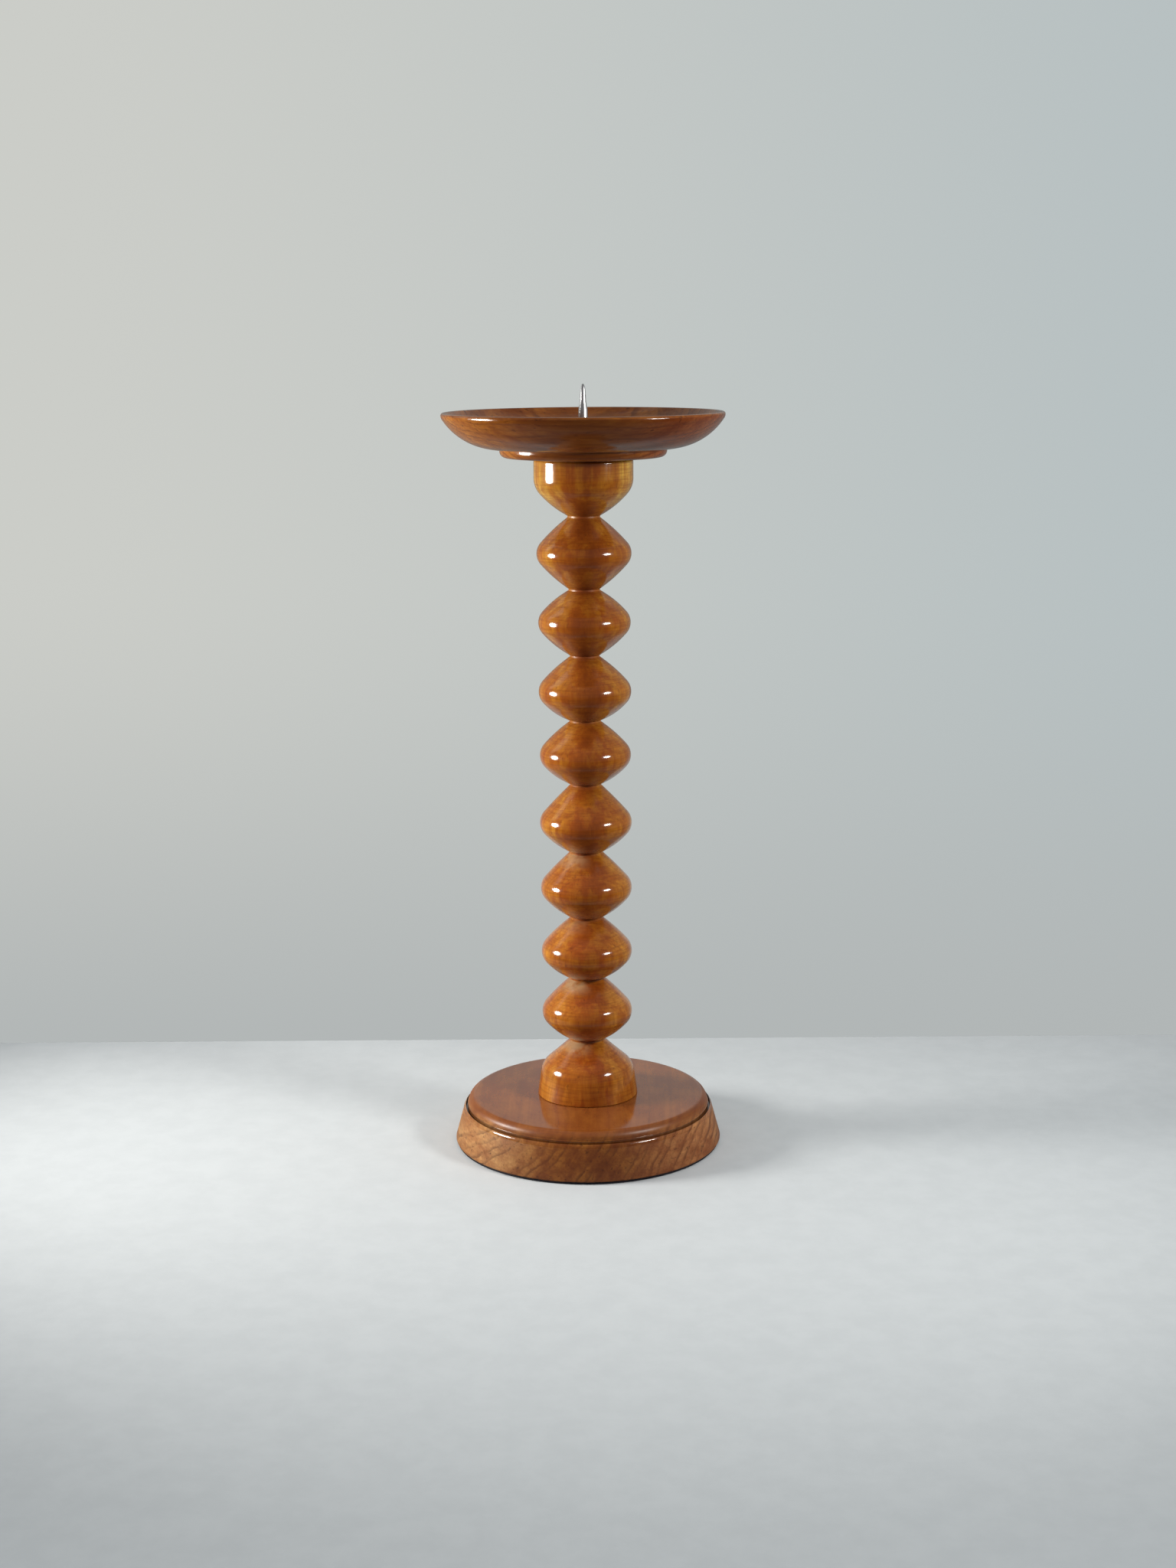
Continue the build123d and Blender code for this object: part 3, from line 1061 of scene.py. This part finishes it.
def dress(piece, node, material):
    """The piece stands for the frame's node, rides on its body and takes its finish."""
    piece.data.materials.append(material)
    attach(piece, "root")
    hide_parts(node)


dress(turned_baize(), "base_baize", dark_baize())
dress(turned_base(), "base", red_base())
dress(turned_stem(), "stem", amber_wood())
dress(turned_dish(), "dish", red_dish())
dress(turned_pricket(), "pricket", bright_steel())
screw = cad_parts["base_screw"]
screw.data.materials.clear()
screw.data.materials.append(plain_steel())

# Stage: a pale floor, and a pale backdrop that shows only from in front, in metres
floor_size = 6.0
backdrop_distance = 0.165
backdrop_height = 3.0

# The floor's tones, how far forward it lights the piece, and where it glows evenly past the lamps' reach
floor_pale = (0.590, 0.620, 0.640)
floor_mottled = (0.560, 0.590, 0.610)
floor_unlit = (0.06, 0.06, 0.06)
floor_glow = (0.46, 0.48, 0.48, 1)
shelf_reach = (-0.22, -0.10)
glow_radii = (0.38, 0.80)

# The backdrop's tones across and down it, with painted light at the left and painted shade low down, and its
# dim and hazy places in reflections
paper_lit_left = (0.600, 0.610, 0.578)
paper_dim_right = (0.470, 0.525, 0.535)
paper_dim_low = (0.440, 0.465, 0.465)
paper_across = (-0.35, 0.45)
paper_down = (0.30, -0.05)
dim_across = (0.25, 0.10)
dim_below = (0.22, 0.10)
dim_above = (0.36, 0.46)
haze_right = (-0.24, -0.38)
haze_left = (-0.85, -0.60)
haze_up = (0.35, 0.55)
haze_strength = 1.3


def stage_sheet(name, width, depth, place, material):
    """A flat rectangle on the stage."""
    bm = bmesh.new()
    bmesh.ops.create_grid(bm, x_segments=1, y_segments=1, size=0.5)
    bmesh.ops.transform(bm, matrix=place @ Matrix.Diagonal((width, depth, 1, 1)), verts=bm.verts)
    piece = linked_piece(name, bm)
    piece.data.materials.append(material)


def pale_floor():
    """A pale matt floor, which lights and mirrors in the piece only as far as a shelf would reach."""
    material, tree, shader, place = new_material("pale_floor")
    mottle = between(tree, noise(tree, place, 60, detail=5, roughness=0.65), 0.3, 0.7)
    colour = blend(tree, mottle, floor_mottled, floor_pale)
    reach = between(tree, along_axes(tree, place)["Y"], *shelf_reach)
    path = tree.nodes.new("ShaderNodeLightPath").outputs
    share = sums(tree, "MAXIMUM", path["Is Camera Ray"], reach)
    share = sums(tree, "SUBTRACT", share, sums(tree, "MULTIPLY", path["Is Glossy Ray"], 0.80))
    colour = blend(tree, share, floor_unlit, colour)
    tree.links.new(colour, shader.inputs["Base Color"])
    far = between(tree, distance_from_axis(tree, place), *glow_radii)
    glow = sums(tree, "MULTIPLY", far, path["Is Camera Ray"])
    tree.links.new(glow, shader.inputs["Emission Strength"])
    set_plain(shader, {"Emission Color": floor_glow, "Roughness": 0.7, "Specular IOR Level": 0.2})
    return material


def pale_backdrop():
    """Pale paper that glows from in front, brighter at the left and darker low down as painted light and
    shade, dimmer in reflections, and clear from behind.
    """
    material, tree, shader, place = new_material("pale_backdrop")
    ways = along_axes(tree, place)
    colour = blend(tree, between(tree, ways["X"], *paper_across), paper_lit_left, paper_dim_right)
    colour = blend(tree, between(tree, ways["Z"], *paper_down), colour, paper_dim_low)
    tree.links.new(colour, shader.inputs["Emission Color"])
    near = between(tree, sums(tree, "ABSOLUTE", ways["X"]), *dim_across)
    away = sums(
        tree,
        "MAXIMUM",
        between(tree, ways["Z"], *dim_below),
        between(tree, ways["Z"], *dim_above),
    )
    dim = spread(tree, sums(tree, "MULTIPLY", near, away), 0.62, 0.10)
    haze = product(
        tree,
        between(tree, ways["X"], *haze_right),
        between(tree, ways["X"], *haze_left),
        between(tree, ways["Z"], *haze_up),
        haze_strength,
    )
    reflected = tree.nodes.new("ShaderNodeLightPath").outputs["Is Glossy Ray"]
    change = sums(tree, "MULTIPLY", reflected, sums(tree, "SUBTRACT", haze, dim))
    tree.links.new(sums(tree, "ADD", 1.0, change), shader.inputs["Emission Strength"])
    set_plain(shader, {"Base Color": (0, 0, 0, 1), "Specular IOR Level": 0.0})
    clear = tree.nodes.new("ShaderNodeBsdfTransparent")
    behind = tree.nodes.new("ShaderNodeNewGeometry").outputs["Backfacing"]
    mix = add(
        tree,
        "ShaderNodeMixShader",
        {0: behind, 1: shader.outputs[0], 2: clear.outputs[0]},
    )
    tree.links.new(mix.outputs[0], tree.nodes["Material Output"].inputs["Surface"])
    return material


upright = Matrix.Rotation(math.pi / 2, 4, "X")
behind_stand = Matrix.Translation((0, backdrop_distance, backdrop_height / 2)) @ upright
stage_sheet("stage_floor", floor_size, floor_size, Matrix.Identity(4), pale_floor())
stage_sheet("stage_backdrop", floor_size, backdrop_height, behind_stand, pale_backdrop())

# Light: a soft window on each side, a ceiling and a dim room in front, in metres, watts and degrees
lamp_target = (0, 0, 0.22)
warm = (1.0, 0.97, 0.92)
cool = (0.94, 0.97, 1.0)
room_in_front = (0.125, 0.125, 0.13)
room_behind = (0.26, 0.27, 0.28)
room_seen = (0.60, 0.62, 0.62)


def window_light(name, place, size, power, spread_angle, colour):
    data = bpy.data.lights.new(name, "AREA")
    data.shape = "ELLIPSE"
    data.size, data.size_y = size
    data.energy = power
    data.spread = math.radians(spread_angle)
    data.color = colour
    lamp = bpy.data.objects.new(name, data)
    lamp.location = place
    lamp.rotation_euler = (Vector(lamp_target) - Vector(place)).to_track_quat("-Z", "Y").to_euler()
    lamp.visible_camera = False
    bpy.context.scene.collection.objects.link(lamp)
    return lamp


window_light(
    "left_window",
    place=(-0.60, -0.06, 0.29),
    size=(0.225, 0.20),
    power=2.05,
    spread_angle=100,
    colour=warm,
)
window_light(
    "right_window",
    place=(0.46, -0.29, 0.42),
    size=(0.17, 0.08),
    power=1.1,
    spread_angle=120,
    colour=warm,
)
ceiling = window_light(
    "ceiling",
    place=(0.0, -0.25, 1.6),
    size=(1.6, 1.6),
    power=6.5,
    spread_angle=180,
    colour=cool,
)
ceiling.visible_glossy = False


def room_light():
    """The world: dim in front, paler behind and above, and an even pale tone where the camera sees it."""
    world = bpy.data.worlds.new("room")
    world.use_nodes = True
    tree = world.node_tree
    tree.nodes.clear()
    direction = tree.nodes.new("ShaderNodeTexCoord").outputs["Generated"]
    behind = between(tree, along_axes(tree, direction)["Y"], -0.6, 0.5)
    colour = blend(tree, behind, room_in_front, room_behind)
    seen = tree.nodes.new("ShaderNodeLightPath").outputs["Is Camera Ray"]
    colour = blend(tree, seen, colour, room_seen)
    ground = add(tree, "ShaderNodeBackground", {"Color": colour, "Strength": 1.0})
    output = tree.nodes.new("ShaderNodeOutputWorld")
    tree.links.new(ground.outputs[0], output.inputs["Surface"])
    bpy.context.scene.world = world


room_light()

# Camera: fitted to the photograph, whose frame is 1536 by 2048 pixels; in metres, degrees and pixels
frame_height_px = 2048
focal_px = 2946
sensor_width = 36.0
camera_pitch = 11.48
camera_roll = -0.40
camera_place = (0.0012, -1.12266, 0.41652)


def photo_camera():
    data = bpy.data.cameras.new("photo_camera")
    data.sensor_width = sensor_width
    data.lens = focal_px / frame_height_px * sensor_width
    camera = bpy.data.objects.new("photo_camera", data)
    look = Matrix.Rotation(math.radians(90 - camera_pitch), 4, "X")
    roll = Matrix.Rotation(math.radians(camera_roll), 4, "Z")
    camera.matrix_world = Matrix.Translation(camera_place) @ look @ roll
    bpy.context.scene.collection.objects.link(camera)
    bpy.context.scene.camera = camera


photo_camera()
bpy.context.scene.view_settings.view_transform = "Standard"

bpy.context.view_layer.update()
